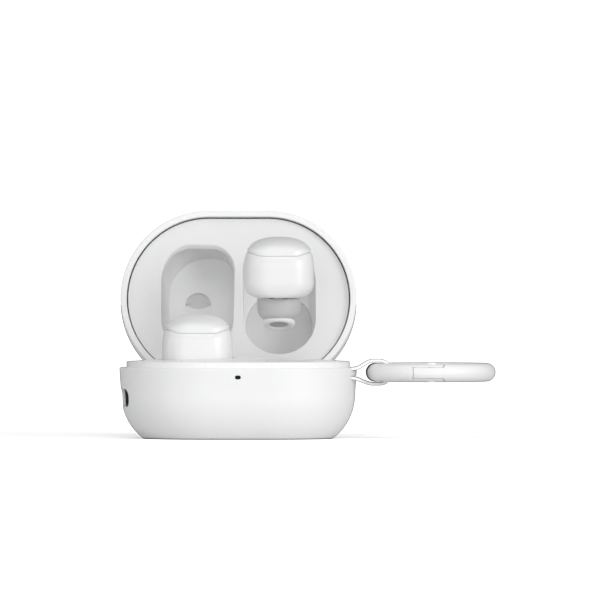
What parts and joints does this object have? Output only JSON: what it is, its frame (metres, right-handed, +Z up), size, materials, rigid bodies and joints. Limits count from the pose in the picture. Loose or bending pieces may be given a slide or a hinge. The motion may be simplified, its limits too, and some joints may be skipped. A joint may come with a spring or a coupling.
{
  "type": "wireless earbuds case",
  "caption": "Pill-shaped earbud charging case in a soft two-piece cover, hinged lid, seated and raised earbuds, strap and ring carabiner.",
  "frame": {"origin": "centre of the flat foot under the lower cover", "axes": "+X towards the carabiner, -Y towards the front with the status light, +Z up"},
  "size_m": [0.1014, 0.0736, 0.0614],
  "materials": {
    "cover_silicone": "satin, soft-touch",
    "case_plastic": "gloss",
    "cradle_plastic": "fine matte",
    "earbud_plastic": "gloss",
    "tip_silicone": "translucent, satin",
    "carabiner_paint": "satin",
    "steel": "satin",
    "contact_gold": "polished",
    "contact_dark": "satin",
    "outlet_mesh": "fine woven",
    "smoked_lens": "gloss",
    "led_resin": "gloss",
    "circuit_board": "solder mask",
    "chip_black": "moulded",
    "cell_foil": "foil",
    "foam": "open cell",
    "flex_film": "film",
    "magnet_nickel": "nickel plated"
  },
  "bodies": {
    "base": {"cover_base": "cover_silicone", "case_base_shell": "case_plastic", "cradle": "cradle_plastic", "battery": "cell_foil", "battery_pad": "foam", "main_pcb": "circuit_board", "pcb_chips": "chip_black", "port_board": "circuit_board", "usb_port_shell": "steel", "usb_port_tongue": "chip_black", "led_board": "circuit_board", "led_chip": "led_resin", "light_pipe": "smoked_lens", "flex_cable": "flex_film", "pogo_pins": "contact_gold", "bud_magnets": "magnet_nickel", "base_lid_magnets": "magnet_nickel", "hinge_bracket": "steel", "hinge_pin": "steel", "bracket_screws": "steel", "strap_root": "cover_silicone"},
    "lid": {"cover_lid": "cover_silicone", "case_lid_shell": "case_plastic", "lid_liner": "cradle_plastic", "hinge_arm": "steel", "arm_screws": "steel", "lid_magnets": "magnet_nickel"},
    "left_bud": {"left_bud_cap": "earbud_plastic", "left_bud_body": "earbud_plastic", "left_bud_contacts": "contact_dark", "left_bud_nozzle": "earbud_plastic", "left_bud_mesh": "outlet_mesh", "left_bud_tip": "tip_silicone", "left_bud_driver": "steel", "left_bud_cell": "cell_foil", "left_bud_board": "circuit_board", "left_bud_magnet": "magnet_nickel"},
    "right_bud": {"right_bud_cap": "earbud_plastic", "right_bud_body": "earbud_plastic", "right_bud_contacts": "contact_dark", "right_bud_nozzle": "earbud_plastic", "right_bud_mesh": "outlet_mesh", "right_bud_tip": "tip_silicone", "right_bud_driver": "steel", "right_bud_cell": "cell_foil", "right_bud_board": "circuit_board", "right_bud_magnet": "magnet_nickel"},
    "strap": {"strap_loop": "cover_silicone"},
    "carabiner": {"carabiner_ring": "carabiner_paint", "gate_rivet": "carabiner_paint", "gate_spring": "steel"},
    "gate": {"carabiner_gate": "carabiner_paint"}
  },
  "joints": [
    {"name": "lid_hinge", "type": "hinge", "parent": "base", "child": "lid", "pos_m": [0, 0.0222, 0.0161], "axis": [-1, 0, 0], "range_deg": [-98, 0]},
    {"name": "left_bud_lift", "type": "slide", "parent": "base", "child": "left_bud", "axis": [0, 0, 1], "range_m": [0, 0.035]},
    {"name": "right_bud_lift", "type": "slide", "parent": "base", "child": "right_bud", "axis": [0, 0, 1], "range_m": [-0.0208, 0]},
    {"name": "strap_bend", "type": "hinge", "parent": "base", "child": "strap", "pos_m": [0.0334, 0, 0.01768], "axis": [0, 1, 0], "range_deg": [-20, 20], "stiffness_Nm_per_rad": 0.2},
    {"name": "ring_swing", "type": "hinge", "parent": "strap", "child": "carabiner", "pos_m": [0.037, 0, 0.0179], "axis": [0, 1, 0], "range_deg": [-20, 20]},
    {"name": "gate_hinge", "type": "hinge", "parent": "carabiner", "child": "gate", "pos_m": [0.052, -0.015, 0.0179], "axis": [0, 0, 1], "range_deg": [0, 25], "stiffness_Nm_per_rad": 0.02}
  ],
  "couplings": [
    {"joint": "right_bud_lift", "follows": "lid_hinge", "m_per_rad": 0.01216}
  ]
}
